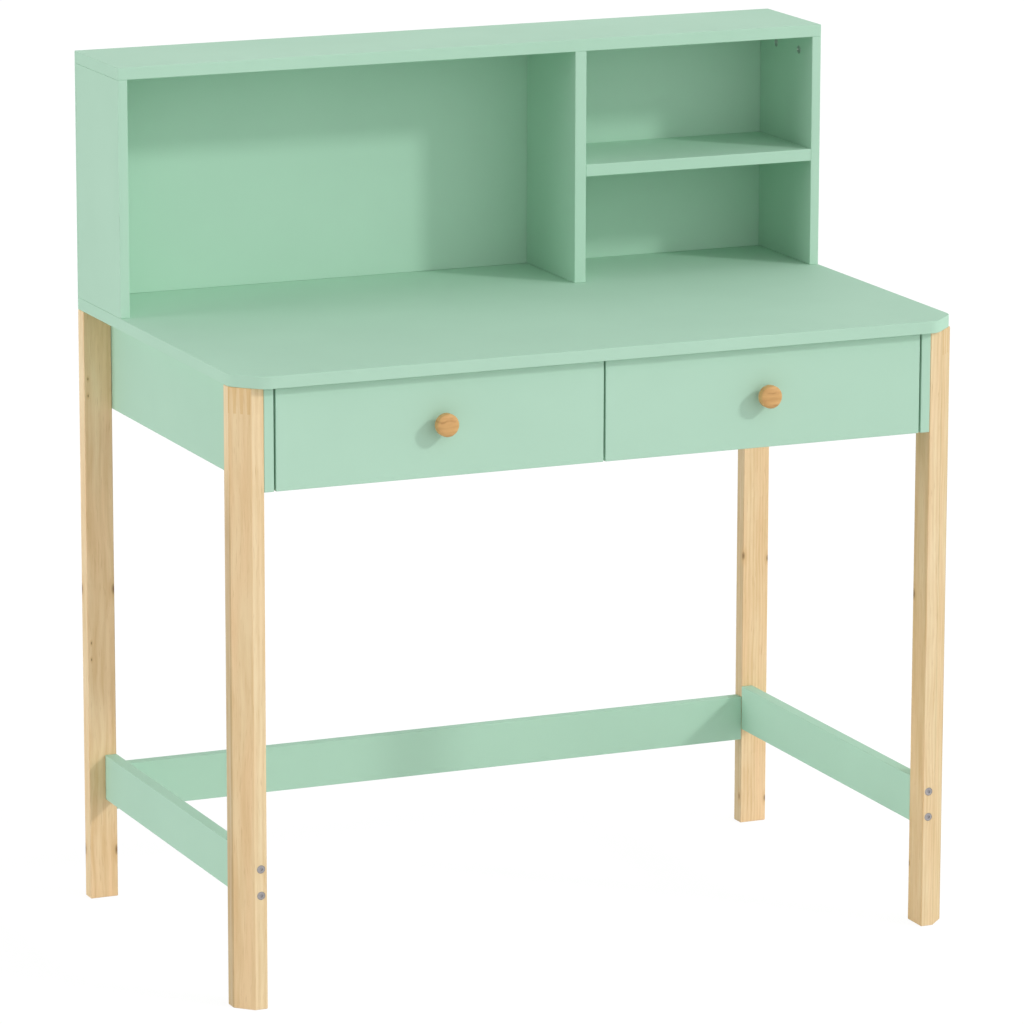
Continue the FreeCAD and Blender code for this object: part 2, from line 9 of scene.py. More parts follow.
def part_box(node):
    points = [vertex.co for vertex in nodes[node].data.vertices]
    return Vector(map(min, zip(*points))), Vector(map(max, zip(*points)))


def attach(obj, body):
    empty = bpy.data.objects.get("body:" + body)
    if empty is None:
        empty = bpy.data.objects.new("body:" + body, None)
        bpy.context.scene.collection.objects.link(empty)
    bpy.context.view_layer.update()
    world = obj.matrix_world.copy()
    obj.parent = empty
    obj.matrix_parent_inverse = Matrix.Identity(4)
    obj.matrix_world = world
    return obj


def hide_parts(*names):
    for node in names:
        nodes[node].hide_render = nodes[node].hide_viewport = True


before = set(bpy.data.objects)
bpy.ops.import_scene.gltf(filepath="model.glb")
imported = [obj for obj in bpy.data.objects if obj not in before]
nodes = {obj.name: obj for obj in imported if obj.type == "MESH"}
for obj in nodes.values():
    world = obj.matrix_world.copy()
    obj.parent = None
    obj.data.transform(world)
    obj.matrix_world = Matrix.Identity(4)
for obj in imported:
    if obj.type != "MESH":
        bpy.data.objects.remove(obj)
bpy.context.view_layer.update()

# The four legs are finger-jointed pine, planed square and lacquered matt. The front pair has
# a wide cut on its outer corner. Lengths of differing tone meet in blunt fingers and small knots
# sit on the arrises. The outer faces of the front legs are darker below the case. Painted shade
# darkens the inner faces and the right-hand cut, and painted light warms the back legs' fronts.
PINE_PALE = (245, 224, 184)
PINE_ROSY = (244, 216, 174)
PINE_AMBER = (228, 198, 150)
PINE_DASH = (196, 156, 104)
PINE_HALO = (214, 172, 118)
PINE_KNOT = (124, 90, 52)
PINE_OFFCUT = (248, 241, 227)
PINE_ROUGH = (0.62, 0.52)
PINE_SHEEN = 0.25
LENGTH_TONES = ((0.97, 0.955, 0.925, 1), (1.0, 1.0, 1.0, 1))
# Darkens the outer faces of the front legs below the case.
OUTER_TONE = (0.71, 0.70, 0.67, 1)
# Multipliers for the legs' inner faces, front legs then back: painted shade on faces turned from the
# front lamp.
INNER_PAINTED_SHADE = ((0.91, 0.83, 0.75, 1), (0.78, 0.77, 0.77, 1))
# Multipliers for the wide cuts, left then right: a tone on the left cut, painted shade on the right
# cut that faces the front lamp.
CUT_TONES_AND_SHADE = ((0.96, 0.91, 0.85, 1), (0.845, 0.83, 0.77, 1))
# A warmer, lighter multiplier on the back legs' fronts: painted light in place of the greenish shade
# there.
BACK_LEG_PAINTED_LIGHT = (1.04, 0.965, 0.94, 1)
LEG_CHAMFER = 0.02
OUTER_TOP = 0.66
OUTER_FADE = 0.09
OFFCUT_RISE = 0.62
OFFCUT_EDGE = 0.0005
SKIN = 0.0007
MIDDLE = 0.1
NOISE_SPAN = (0.3, 0.7)
GRAIN_SPAN = (0.32, 0.6)
TONE_SPAN = (0.35, 0.65)
DASH_SPAN = (0.62, 0.8)
DASH_SHARE = 0.4
GRAIN_DRIFT = 0.012
DRIFT_SLANT = -0.5
DRIFT_WIDTH = 0.05
DRIFT_LENGTH = 0.16
FIBRE_WIDTH = 0.0008
FIBRE_LENGTH = 0.03
DASH_WIDTH = 0.0011
DASH_LENGTH = 0.02
STREAK_WIDTH = 0.0034
STREAK_LENGTH = 0.085
PATCH_WIDTH = 0.02
PATCH_LENGTH = 0.1
RING_PITCH = 0.0045
RING_STRETCH = 0.03
WAVE_PERIOD = math.tau / 20
PITH = (0.31, 0.12, 0)
JOINT_SPACING = 0.31
JOINT_LOWEST = 0.122
LEG_SPACING = 0.3
FINGER_PITCH = 0.0125
FINGER_FLANK = (0.2, 0.3)
FINGER_LENGTH = 0.03
KNOT_STRETCH = 0.4
KNOT_REACH = (0.3, 1.2)
KNOT_SHARE = 0.8
HALO_REACH = (0.8, 3.0)
HALO_SHARE = 0.5
LEG_KNOTS = [
    (-0.465, 0.275, 0.393, 0.0030), (-0.430, 0.258, 0.393, 0.0028),
    (-0.465, 0.275, 0.060, 0.0030), (-0.430, 0.258, 0.060, 0.0028),
    (-0.460, 0.258, 0.306, 0.0008), (-0.460, 0.258, 0.327, 0.0008),
    (-0.460, 0.258, 0.638, 0.0008), (-0.460, 0.258, 0.659, 0.0008),
    (0.430, 0.259, 0.356, 0.0022), (0.464, 0.258, 0.350, 0.0018),
    (0.429, 0.262, 0.035, 0.0022), (0.464, 0.258, 0.030, 0.0018),
    (0.429, -0.222, 0.412, 0.0028), (0.429, -0.221, 0.072, 0.0018),
]


def tint(colour):
    """A colour as the eye sees it, from 0 to 255 a channel, as the linear value of a shader."""
    linear = []
    for channel in colour:
        level = channel / 255
        linear.append(level / 12.92 if level < 0.04 else ((level + 0.055) / 1.055) ** 2.4)
    return (*linear, 1.0)


def add(tree, kind, inputs, **settings):
    """A node of a finish; each input is a value or the socket that feeds it."""
    made = tree.nodes.new("ShaderNode" + kind)
    for name, value in settings.items():
        setattr(made, name, value)
    for name, value in inputs.items():
        if isinstance(value, bpy.types.NodeSocket):
            tree.links.new(value, made.inputs[name])
        else:
            made.inputs[name].default_value = value
    return made


def worked(tree, way, first, second=0.0):
    """One step of arithmetic on sockets or numbers."""
    return add(tree, "Math", {0: first, 1: second}, operation=way).outputs[0]


def sum_of(tree, *sockets):
    """The sum of several sockets."""
    total = sockets[0]
    for socket in sockets[1:]:
        total = worked(tree, "ADD", total, socket)
    return total


def times(tree, socket, factor):
    """A socket times a number or another socket."""
    return worked(tree, "MULTIPLY", socket, factor)


def mixed(tree, share, first, second, way="MIX"):
    """A colour between two, by a share from 0 to 1."""
    mix = add(tree, "Mix", {0: share, 6: first, 7: second}, data_type="RGBA", blend_type=way)
    return mix.outputs[2]


def spread(tree, socket, low, high, to_low=0.0, to_high=1.0):
    """A socket's range from low to high, drawn out to another range."""
    drawn = {"Value": socket, "From Min": low, "From Max": high, "To Min": to_low, "To Max": to_high}
    return add(tree, "MapRange", drawn).outputs[0]


def noise(tree, spot, sizes, detail=2.0, roughness=0.5):
    """Soft noise whose blobs have a size along each axis, in metres."""
    scale = tuple(1 / size for size in sizes)
    stretched = add(tree, "Mapping", {"Vector": spot, "Scale": scale}).outputs[0]
    inputs = {"Vector": stretched, "Scale": 1.0, "Detail": detail, "Roughness": roughness}
    return add(tree, "TexNoise", inputs).outputs[0]


def new_finish(name):
    """An empty finish: its material, node tree, surface shader and place on the piece."""
    material = bpy.data.materials.new(name)
    material.use_nodes = True
    tree = material.node_tree
    spot = add(tree, "TexCoord", {}).outputs["Object"]
    return material, tree, tree.nodes["Principled BSDF"], spot


def relief(tree, surface, height, depth, strength):
    """Fine relief on a surface, from a height between 0 and 1 and its depth in metres."""
    bump = add(tree, "Bump", {"Height": height, "Distance": depth, "Strength": strength})
    tree.links.new(bump.outputs[0], surface.inputs["Normal"])


def pine_grain(tree, spot):
    """Upright grain: the colour of clear pine, and a share from 0, late wood, to 1, early wood."""
    wander = noise(tree, spot, (DRIFT_WIDTH, DRIFT_WIDTH, DRIFT_LENGTH))
    drift = times(tree, wander, GRAIN_DRIFT)
    aside = add(tree, "CombineXYZ", {"X": drift, "Y": times(tree, drift, DRIFT_SLANT)}).outputs[0]
    along = add(tree, "VectorMath", {0: spot, 1: aside}).outputs[0]
    fibres = noise(tree, along, (FIBRE_WIDTH, FIBRE_WIDTH, FIBRE_LENGTH), 3.0)
    dashes = noise(tree, along, (DASH_WIDTH, DASH_WIDTH, DASH_LENGTH), 1.0)
    streaks = noise(tree, along, (STREAK_WIDTH, STREAK_WIDTH, STREAK_LENGTH), 3.0)
    patches = noise(tree, along, (PATCH_WIDTH, PATCH_WIDTH, PATCH_LENGTH), 2.0)
    blush = noise(tree, along, (PATCH_WIDTH, PATCH_WIDTH, 2 * PATCH_LENGTH), 1.0)
    flat = add(tree, "Mapping", {"Vector": along, "Location": PITH, "Scale": (1, 1, RING_STRETCH)})
    rings = add(tree, "TexWave", {"Vector": flat.outputs[0], "Scale": WAVE_PERIOD / RING_PITCH,
                                  "Distortion": 9.0, "Detail": 2.0, "Detail Scale": 0.4},
                wave_type="RINGS", rings_direction="Z", wave_profile="SIN").outputs["Fac"]
    grain = sum_of(tree, times(tree, fibres, 0.2), times(tree, streaks, 0.34),
                   times(tree, patches, 0.34), times(tree, rings, 0.12))
    pale = mixed(tree, spread(tree, blush, *TONE_SPAN), tint(PINE_PALE), tint(PINE_ROSY))
    wood = mixed(tree, spread(tree, grain, *GRAIN_SPAN), tint(PINE_AMBER), pale)
    dash = spread(tree, dashes, *DASH_SPAN, 0.0, DASH_SHARE)
    return mixed(tree, dash, wood, tint(PINE_DASH)), grain


def above_joint(tree, axes, outwards):
    """The height above a leg's lowest finger joint, stepped by its fingers."""
    across = sum_of(tree, outwards, axes["Y"])
    finger = worked(tree, "PINGPONG", across, FINGER_PITCH / 2)
    low, high = (share * FINGER_PITCH for share in FINGER_FLANK)
    fingers = spread(tree, finger, low, high, 0.0, FINGER_LENGTH)
    return worked(tree, "SUBTRACT", sum_of(tree, axes["Z"], fingers), JOINT_LOWEST)


def toned_by_length(tree, wood, axes, height):
    """Pine whose glued lengths differ a little in tone, from leg to leg and from joint to joint."""
    place = add(tree, "CombineXYZ", {"X": axes["X"], "Y": axes["Y"], "Z": height}).outputs[0]
    steps = (LEG_SPACING, LEG_SPACING, JOINT_SPACING)
    lengths = add(tree, "VectorMath", {0: place, 1: steps}, operation="SNAP").outputs[0]
    tone = add(tree, "TexWhiteNoise", {"Vector": lengths}).outputs[0]
    return mixed(tree, 1.0, wood, mixed(tree, tone, *LENGTH_TONES), "MULTIPLY")


def toned_and_shaded_by_face(tree, wood, axes, outwards, height):
    """Pine with a tone for each face: front legs' outer faces darker below the case, painted shade
    on the inner faces, tone and painted shade on the wide cut, painted light on the back legs'
    fronts, and a paler offcut glued on at the top of the cut."""
    front_low, front_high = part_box("front_right_leg")
    back_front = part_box("back_right_leg")[0].y
    rear = spread(tree, axes["Y"], -MIDDLE, MIDDLE)
    right = spread(tree, axes["X"], -MIDDLE, MIDDLE)
    below = spread(tree, axes["Z"], OUTER_TOP, OUTER_TOP - OUTER_FADE)
    outer = spread(tree, outwards, front_high.x - 2 * SKIN, front_high.x - SKIN)
    outer = times(tree, times(tree, outer, below), spread(tree, rear, 1.0, 0.0))
    inner = spread(tree, outwards, front_low.x + 2 * SKIN, front_low.x + SKIN)
    slant = worked(tree, "SUBTRACT", outwards, axes["Y"])
    cut_face = front_high.x - front_low.y - LEG_CHAMFER
    cut = spread(tree, slant, cut_face - 2 * SKIN, cut_face - SKIN)
    front = spread(tree, axes["Y"], back_front + 2 * SKIN, back_front + SKIN)
    # The outer faces of the front legs, darker below the case.
    wood = mixed(tree, outer, wood, OUTER_TONE, "MULTIPLY")
    # Painted shade on the inner faces of all four legs.
    wood = mixed(tree, inner, wood, mixed(tree, rear, *INNER_PAINTED_SHADE), "MULTIPLY")
    # Tone on the left cut, painted shade on the right cut where the front lamp falls.
    wood = mixed(tree, cut, wood, mixed(tree, right, *CUT_TONES_AND_SHADE), "MULTIPLY")
    offcut = times(tree, cut, spread(tree, height, OFFCUT_RISE, OFFCUT_RISE + OFFCUT_EDGE))
    wood = mixed(tree, offcut, wood, tint(PINE_OFFCUT), "MULTIPLY")
    # Painted light on the back legs' fronts, which lie in shade under the case.
    return mixed(tree, times(tree, front, rear), wood, BACK_LEG_PAINTED_LIGHT, "MULTIPLY")


def knotted(tree, wood, spot):
    """Pine with its knots, each in a halo of darker wood."""
    nearest = None
    for x, y, z, radius in LEG_KNOTS:
        offset = add(tree, "VectorMath", {0: spot, 1: (x, y, z)}, operation="SUBTRACT").outputs[0]
        offset = add(tree, "VectorMath", {0: offset, 1: (1, 1, KNOT_STRETCH)}, operation="MULTIPLY")
        away = add(tree, "VectorMath", {0: offset.outputs[0]}, operation="LENGTH").outputs["Value"]
        away = times(tree, away, 1 / radius)
        nearest = away if nearest is None else worked(tree, "MINIMUM", nearest, away)
    halo = spread(tree, nearest, *HALO_REACH, HALO_SHARE, 0.0)
    heart = spread(tree, nearest, *KNOT_REACH, KNOT_SHARE, 0.0)
    return mixed(tree, heart, mixed(tree, halo, wood, tint(PINE_HALO)), tint(PINE_KNOT))


def pine():
    """Lacquered pine with its grain upright."""
    material, tree, surface, spot = new_finish("lacquered_pine")
    wood, grain = pine_grain(tree, spot)
    axes = add(tree, "SeparateXYZ", {"Vector": spot}).outputs
    outwards = worked(tree, "ABSOLUTE", axes["X"])
    height = above_joint(tree, axes, outwards)
    wood = toned_by_length(tree, wood, axes, height)
    # Painted shade on the inner faces and the right-hand cut, painted light on the back legs'
    # fronts.
    wood = toned_and_shaded_by_face(tree, wood, axes, outwards, height)
    tree.links.new(knotted(tree, wood, spot), surface.inputs["Base Color"])
    tree.links.new(spread(tree, grain, *NOISE_SPAN, *PINE_ROUGH), surface.inputs["Roughness"])
    surface.inputs["Specular IOR Level"].default_value = PINE_SHEEN
    relief(tree, surface, grain, depth=0.0003, strength=0.25)
    return material


def finish(material, *names):
    """Gives pieces of the frame a finish."""
    for name in names:
        for slot in nodes[name].material_slots:
            slot.material = material


finish(pine(), "front_left_leg", "front_right_leg", "back_left_leg", "back_right_leg")

# Three rails of fibreboard tie the legs together near the floor. Like every board of the desk
# they are sprayed with satin mint paint, which leaves a faint orange peel.
MINT = (183, 219, 197)
MINT_DEEP = (180, 216, 194)
MINT_ROUGH = (0.68, 0.6)
MINT_SHEEN = 0.06
PEEL_SIZE = 0.0012
CLOUD_SIZE = 0.16


def mint_paint():
    """Satin mint paint, sprayed: a soft sheen, faint clouds of tone and a fine orange peel."""
    material, tree, surface, spot = new_finish("satin_mint_paint")
    clouds = noise(tree, spot, (CLOUD_SIZE,) * 3, 3.0)
    peel = noise(tree, spot, (PEEL_SIZE,) * 3, 2.0)
    shade = spread(tree, clouds, *NOISE_SPAN)
    tree.links.new(mixed(tree, shade, tint(MINT_DEEP), tint(MINT)), surface.inputs["Base Color"])
    tree.links.new(spread(tree, clouds, *NOISE_SPAN, *MINT_ROUGH), surface.inputs["Roughness"])
    surface.inputs["Specular IOR Level"].default_value = MINT_SHEEN
    relief(tree, surface, peel, depth=0.00008, strength=0.35)
    return material


paint = mint_paint()
finish(paint, "left_lower_rail", "right_lower_rail", "back_lower_rail")

# Stout zinc-plated screws with a hexagon socket go through the legs into the side rails, two to
# a joint, their flat heads flush with the wood. Heads are cold-formed and threads are rolled.
STEEL = (184, 180, 181)
STEEL_DULL = (150, 147, 149)
MOTTLE_SIZE = 0.002
SCRATCH_SIZES = (0.0001, 0.004, 0.0006)
BOLT_HEAD = 0.005
BOLT_HEAD_HEIGHT = 0.004
BOLT_SHANK = 0.0032
BOLT_CORE = 0.0023
BOLT_COLLAR = 0.012
BOLT_PITCH = 0.0032
BOLT_SOCKET = 0.0023
BOLT_SOCKET_DEPTH = 0.0015
HEAD_CHAMFER = 0.0004
TURNING_STEPS = 32
THREAD_STEPS = 14
THREAD_BITE = 0.05
THREAD_FLANK = 1 / 3
DRILL_POINT = 0.25
FACING = 0.9
MERGE_GAP = 1e-6
TOUCH = 1e-5
SMOOTH_ANGLE = math.radians(32)
DRIVER_TURN = 2.4


def plated(name, bright, dull, roughness, metallic):
    """Plated metal: a mottled grey with fine scratches."""
    material, tree, surface, spot = new_finish(name)
    mottle = noise(tree, spot, (MOTTLE_SIZE,) * 3, 3.0)
    scratches = noise(tree, spot, SCRATCH_SIZES, 2.0)
    grey = mixed(tree, mottle, tint(dull), tint(bright))
    tree.links.new(grey, surface.inputs["Base Color"])
    surface.inputs["Metallic"].default_value = metallic
    wear = sum_of(tree, times(tree, mottle, 0.6), times(tree, scratches, 0.4))
    polish = spread(tree, wear, *NOISE_SPAN, roughness - 0.08, roughness + 0.1)
    tree.links.new(polish, surface.inputs["Roughness"])
    relief(tree, surface, wear, depth=0.00005, strength=0.3)
    return material


def solids_of(name):
    """The points of each separate solid of a piece of the frame."""
    mesh = nodes[name].data
    corners = [tuple(round(value, 6) for value in corner.co) for corner in mesh.vertices]
    owner = {corner: corner for corner in corners}

    def chief(corner):
        while owner[corner] != corner:
            owner[corner] = owner[owner[corner]]
            corner = owner[corner]
        return corner

    for face in mesh.polygons:
        first, *others = (corners[index] for index in face.vertices)
        for other in others:
            owner[chief(other)] = chief(first)
    solids = {}
    for corner in owner:
        solids.setdefault(chief(corner), []).append(Vector(corner))
    return list(solids.values())


def box_of(points):
    """The lowest and highest corner of some points."""
    return Vector(map(min, zip(*points))), Vector(map(max, zip(*points)))


def seats(name):
    """Each round solid of a piece: the middle of its head, the way it points and its length. The
    head is the wider end, or the end with a socket, which is a quarter of the length deep."""
    found = []
    for points in solids_of(name):
        low, high = box_of(points)
        size = high - low
        along = max(range(3), key=lambda axis: abs(size[axis] - sorted(size)[1]))
        middle = (low + high) / 2
        ends = []
        for end, way in ((low, 1), (high, -1)):
            depths = [(abs(point[along] - end[along]), point - middle) for point in points]
            radii = []
            for depth, arm in depths:
                if depth < TOUCH:
                    arm[along] = 0
                    radii.append(arm.length)
            at_socket = sum(abs(depth - size[along] / 4) < TOUCH for depth, arm in depths)
            ends.append((round(max(radii), 4), at_socket, way))
        way = max(ends)[2]
        middle[along] = (low if way > 0 else high)[along]
        heading = Vector()
        heading[along] = way
        found.append((middle, heading, size[along]))
    return found


def chosen(*pieces):
    """Selects only these pieces and makes the first one active."""
    bpy.ops.object.select_all(action="DESELECT")
    for piece in pieces:
        piece.select_set(True)
    bpy.context.view_layer.objects.active = pieces[0]


def drawn(name, line):
    """A new piece, in edit mode, with only a line of (x, z) points, each extruded from the last."""
    bpy.ops.object.select_all(action="DESELECT")
    bpy.ops.mesh.primitive_plane_add(size=1)
    piece = bpy.context.object
    piece.name = name
    bpy.ops.object.mode_set(mode="EDIT")
    bpy.ops.mesh.merge(type="CENTER")
    bpy.ops.transform.translate(value=(line[0][0], 0, line[0][1]))
    for (x, z), (next_x, next_z) in zip(line, line[1:]):
        bpy.ops.mesh.extrude_region_move(
            TRANSFORM_OT_translate={"value": (next_x - x, 0, next_z - z)})
    bpy.ops.mesh.select_all(action="SELECT")
    return piece


def cleaned():
    """Merges a mesh's doubles, turns its faces outwards and leaves edit mode."""
    bpy.ops.mesh.select_all(action="SELECT")
    bpy.ops.mesh.remove_doubles(threshold=MERGE_GAP)
    bpy.ops.mesh.normals_make_consistent(inside=False)
    bpy.ops.object.mode_set(mode="OBJECT")


def lathed(name, profile, steps=TURNING_STEPS):
    """A piece turned about Z from its profile, a row of (radius, height)."""
    piece = drawn(name, profile)
    bpy.ops.mesh.spin(steps=steps, angle=math.tau, center=(0, 0, 0), axis=(0, 0, 1))
    cleaned()
    return piece


def applied(piece, kind, **settings):
    """Adds a modifier to a piece and applies it."""
    chosen(piece)
    modifier = piece.modifiers.new(kind.lower(), kind)
    for name, value in settings.items():
        setattr(modifier, name, value)
    bpy.ops.object.modifier_apply(modifier=modifier.name)


def cut_by(piece, tool):
    """Cuts the shape of a tool out of a piece and throws the tool away."""
    applied(piece, "BOOLEAN", object=tool, operation="DIFFERENCE", solver="EXACT")
    bpy.data.objects.remove(tool)
    bpy.ops.object.mode_set(mode="EDIT")
    bpy.ops.mesh.select_all(action="SELECT")
    bpy.ops.mesh.dissolve_degenerate(threshold=MERGE_GAP)
    bpy.ops.object.mode_set(mode="OBJECT")


def threaded(screw, core, crest, pitch, top, bottom):
    """Winds a thread round a screw's core between two heights."""
    root = core - pitch * THREAD_BITE
    flank = pitch * THREAD_FLANK
    ridge = [(root, bottom - flank), (crest, bottom), (root, bottom + flank)]
    thread = drawn("thread", ridge + ridge[:1])
    cleaned()
    applied(thread, "SCREW", axis="Z", screw_offset=pitch, iterations=int((top - bottom) / pitch),
            steps=THREAD_STEPS, render_steps=THREAD_STEPS)
    bpy.ops.object.mode_set(mode="EDIT")
    bpy.ops.mesh.select_all(action="SELECT")
    bpy.ops.mesh.fill_holes(sides=3)
    cleaned()
    chosen(screw, thread)
    bpy.ops.object.join()


def hexagon_driver():
    """The shape of a hexagon key with a short drill point, as the tool that forms a socket."""
    bpy.ops.object.select_all(action="DESELECT")
    bpy.ops.mesh.primitive_cylinder_add(vertices=6, radius=BOLT_SOCKET, depth=2 * BOLT_SOCKET_DEPTH)
    tool = bpy.context.object
    bpy.ops.object.mode_set(mode="EDIT")
    bpy.ops.mesh.select_all(action="DESELECT")
    bpy.ops.object.mode_set(mode="OBJECT")
    for face in tool.data.polygons:
        face.select = face.normal.z < -FACING
    bpy.ops.object.mode_set(mode="EDIT")
    point = -BOLT_SOCKET * DRILL_POINT
    bpy.ops.mesh.extrude_region_move(TRANSFORM_OT_translate={"value": (0, 0, point)})
    bpy.ops.transform.resize(value=(DRILL_POINT, DRILL_POINT, 1))
    cleaned()
    return tool


def leg_bolt(length):
    """Stout screw: a chamfered flat head with a hexagon socket, a collar and a coarse thread."""
    tip = length - BOLT_PITCH
    bolt = lathed("leg_bolt", [
        (0, 0), (BOLT_HEAD - HEAD_CHAMFER, 0), (BOLT_HEAD, -HEAD_CHAMFER),
        (BOLT_HEAD, -BOLT_HEAD_HEIGHT), (BOLT_SHANK, -BOLT_HEAD_HEIGHT),
        (BOLT_SHANK, -BOLT_COLLAR), (BOLT_CORE, -BOLT_COLLAR - BOLT_SHANK + BOLT_CORE),
        (BOLT_CORE, -tip), (BOLT_CORE / 2, -length), (0, -length),
    ])
    cut_by(bolt, hexagon_driver())
    threaded(bolt, BOLT_CORE, BOLT_SHANK, BOLT_PITCH, -BOLT_COLLAR - BOLT_PITCH, -tip)
    return bolt


def fitted(node, body, make, material, facing=None):
    """Sets copies of one modelled fitting where a piece of the frame has its solids."""
    spots = seats(node)
    model = make(spots[0][2])
    model.data.materials.clear()
    model.data.materials.append(material)
    copies = []
    for number, (spot, heading, length) in enumerate(spots):
        copy = bpy.data.objects.new(node + "_fitted", model.data.copy())
        bpy.context.scene.collection.objects.link(copy)
        turn = Vector((0, 0, -1)).rotation_difference(heading).to_matrix()
        if facing:
            way = turn.inverted() @ facing(spot, heading)
            spin = math.atan2(way.y, way.x)
        else:
            spin = DRIVER_TURN * number
        turn = turn @ Matrix.Rotation(spin, 3, "Z")
        copy.data.transform(Matrix.Translation(spot) @ turn.to_4x4())
        copies.append(copy)
    bpy.data.objects.remove(model)
    chosen(*copies)
    if len(copies) > 1:
        bpy.ops.object.join()
    bpy.ops.object.shade_smooth_by_angle(angle=SMOOTH_ANGLE)
    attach(copies[0], body)
    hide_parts(node)


steel = plated("plated_steel", STEEL, STEEL_DULL, roughness=0.42, metallic=0.8)
for node in ("front_leg_screws", "back_leg_screws"):
    fitted(node, "desk", leg_bolt, steel)

# Cams of cast zinc, pressed into the back rail from behind, draw it to the back legs by steel
# bolts. A cam is a capped drum with a cross for the driver and a window where its bolt enters.
ZINC = (204, 207, 205)
ZINC_DULL = (170, 174, 172)
CAM_RADIUS = 0.005
CAM_CAP = 0.0027
CAM_WALL = 0.0007
CAM_DISH = 0.0004
CAM_DISH_FLOOR = 0.0034
CAM_DISH_RIM = 0.0038
CAM_WINDOW = 0.0066
CROSS_WIDTH = 0.0009
CROSS_REACH = 0.0021
CROSS_DEPTH = 0.0015
CROSS_TAPER = 0.45
CAM_CROSS = 1.2


def cross_driver(scale=1.0):
    """The shape of a cross-point driver's tip: a block with four wings, drawn in towards its end."""
    bpy.ops.object.select_all(action="DESELECT")
    bpy.ops.mesh.primitive_cube_add(size=CROSS_WIDTH * scale)
    tool = bpy.context.object
    bpy.ops.object.mode_set(mode="EDIT")
    bpy.ops.transform.resize(value=(1, 1, 2 * CROSS_DEPTH / CROSS_WIDTH))
    wing = (CROSS_REACH - CROSS_WIDTH / 2) * scale
    core = CROSS_WIDTH * scale / 2 + TOUCH
    for way in ((1, 0, 0), (-1, 0, 0), (0, 1, 0), (0, -1, 0)):
        bpy.ops.object.mode_set(mode="OBJECT")
        for face in tool.data.polygons:
            inner = max(abs(face.center.x), abs(face.center.y)) < core
            face.select = inner and face.normal.dot(Vector(way)) > FACING
        for edge in tool.data.edges:
            edge.select = False
        for corner in tool.data.vertices:
            corner.select = False
        bpy.ops.object.mode_set(mode="EDIT")
        bpy.ops.mesh.select_mode(type="FACE")
        bpy.ops.mesh.extrude_region_move(
            TRANSFORM_OT_translate={"value": [wing * part for part in way]})
    bpy.ops.mesh.select_mode(type="VERT")
    bpy.ops.object.mode_set(mode="OBJECT")
    for corner in tool.data.vertices:
        corner.select = corner.co.z < 0
    bpy.ops.object.mode_set(mode="EDIT")
    bpy.ops.transform.resize(value=(CROSS_TAPER, CROSS_TAPER, 1), center_override=(0, 0, 0))
    cleaned()
    return tool


def cam_drum(depth):
    """Capped drum with a dished face, a cross recess and a window for the bolt on its X side."""
    inside = CAM_RADIUS - CAM_WALL
    drum = lathed("cam_drum", [
        (0, -CAM_DISH), (CAM_DISH_FLOOR, -CAM_DISH), (CAM_DISH_RIM, 0),
        (CAM_RADIUS - HEAD_CHAMFER, 0), (CAM_RADIUS, -HEAD_CHAMFER), (CAM_RADIUS, -depth),
        (inside, -depth), (inside, -CAM_CAP), (0, -CAM_CAP),
    ])
    cut_by(drum, cross_driver(CAM_CROSS))
    bpy.ops.object.select_all(action="DESELECT")
    sill = -CAM_CAP - CAM_WINDOW / 2
    bpy.ops.mesh.primitive_cube_add(size=CAM_WINDOW, location=(CAM_RADIUS, 0, sill))
    window = bpy.context.object
    bpy.ops.object.transform_apply()
    cut_by(drum, window)
    return drum


def cams(name, body):
    """Fits the cams of a joint, each with its window towards the nearest bolt."""
    bolts = [sum(box_of(points), Vector()) / 2 for points in solids_of(name + "_cam_bolts")]

    def towards_bolt(spot, heading):
        arms = [bolt - spot for bolt in bolts]
        arm = min(arms, key=lambda arm: arm.length)
        return (arm - heading * arm.dot(heading)).normalized()

    finish(steel, name + "_cam_bolts")
    fitted(name + "_cam_locks", body, cam_drum, zinc, towards_bolt)


zinc = plated("cast_zinc", ZINC, ZINC_DULL, roughness=0.32, metallic=1.0)
cams("back_rail", "desk")

# The drawer case: two painted sides screwed to the legs from inside, a back and a divider.
# Their cams and screws are out of sight behind the drawers.
finish(paint, "case_left_side", "case_right_side", "case_back", "case_divider")
SCREW_HEAD = 0.004
SCREW_HEAD_HEIGHT = 0.0024
SCREW_SHANK = 0.002
SCREW_CORE = 0.0014
SCREW_PITCH = 0.0019
SCREW_POINT = 0.005
SCREW_STEPS = 24


def wood_screw(length):
    """Countersunk wood screw: a flat head with a cross recess, a tapered neck and a sharp point."""
    rim = HEAD_CHAMFER / 2
    neck = SCREW_HEAD_HEIGHT + SCREW_SHANK - SCREW_CORE
    screw = lathed("wood_screw", [
        (0, 0), (SCREW_HEAD - rim, 0), (SCREW_HEAD - rim, -rim), (SCREW_SHANK, -SCREW_HEAD_HEIGHT),
        (SCREW_CORE, -neck), (SCREW_CORE, SCREW_POINT - length), (0, -length),
    ], SCREW_STEPS)
    cut_by(screw, cross_driver())
    threaded(screw, SCREW_CORE, SCREW_SHANK, SCREW_PITCH, -neck - SCREW_PITCH, SCREW_POINT - length)
    return screw


for node in ("leg_to_case_screws", "case_divider_screws"):
    fitted(node, "desk", wood_screw, steel)
cams("case_back", "desk")

# Waxed beech strips screwed to the case carry the drawers in grooves, and a beech block under
# the desktop stops each drawer. The dowels in the legs and the hutch are beech too.
BEECH_PALE = (226, 198, 158)
BEECH_DARK = (198, 164, 120)
FLECK_WIDTH = 0.0007
FLECK_LENGTH = 0.006
BEECH_BANDS = (0.006, 0.2, 0.006)
BEECH_ROUGH = (0.6, 0.48)


